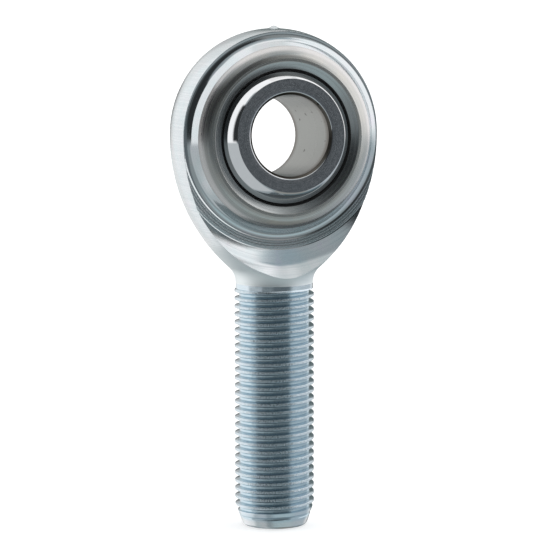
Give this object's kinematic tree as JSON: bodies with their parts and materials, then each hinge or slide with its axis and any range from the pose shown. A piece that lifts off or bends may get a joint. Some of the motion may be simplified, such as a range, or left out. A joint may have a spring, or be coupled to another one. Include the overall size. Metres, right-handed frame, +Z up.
{
  "type": "rod end bearing",
  "caption": "Male rod end bearing: a plated eye on a threaded shank, holding a bored ball that swivels in a lined, staked race.",
  "frame": {"origin": "centre of the flat at the shank's free end", "axes": "+Z up the shank to the eye; Y along the ball's bore, which leans 3.5 degrees about X at rest; X across the eye"},
  "size_m": [0.033, 0.017, 0.0792],
  "materials": {
    "zinc_plate": "bright zinc plate over forged and turned steel",
    "turned_steel": "bare turned steel",
    "liner": "dark low-friction liner",
    "chrome_ball": "polished chrome, ground faces"
  },
  "bodies": {
    "housing": {"rod_end_body": "zinc_plate", "outer_race": "turned_steel"},
    "liner_ring": {"liner": "liner"},
    "ball": {"ball": "chrome_ball"}
  },
  "joints": [
    {"name": "ball_turn", "type": "hinge", "parent": "housing", "child": "liner_ring", "pos_m": [0, 0, 0.062], "axis": [0, 1, 0], "continuous": true},
    {"name": "ball_tilt", "type": "hinge", "parent": "liner_ring", "child": "ball", "pos_m": [0, 0, 0.062], "axis": [1, 0, 0], "range_deg": [-9.5, 16.5]}
  ]
}
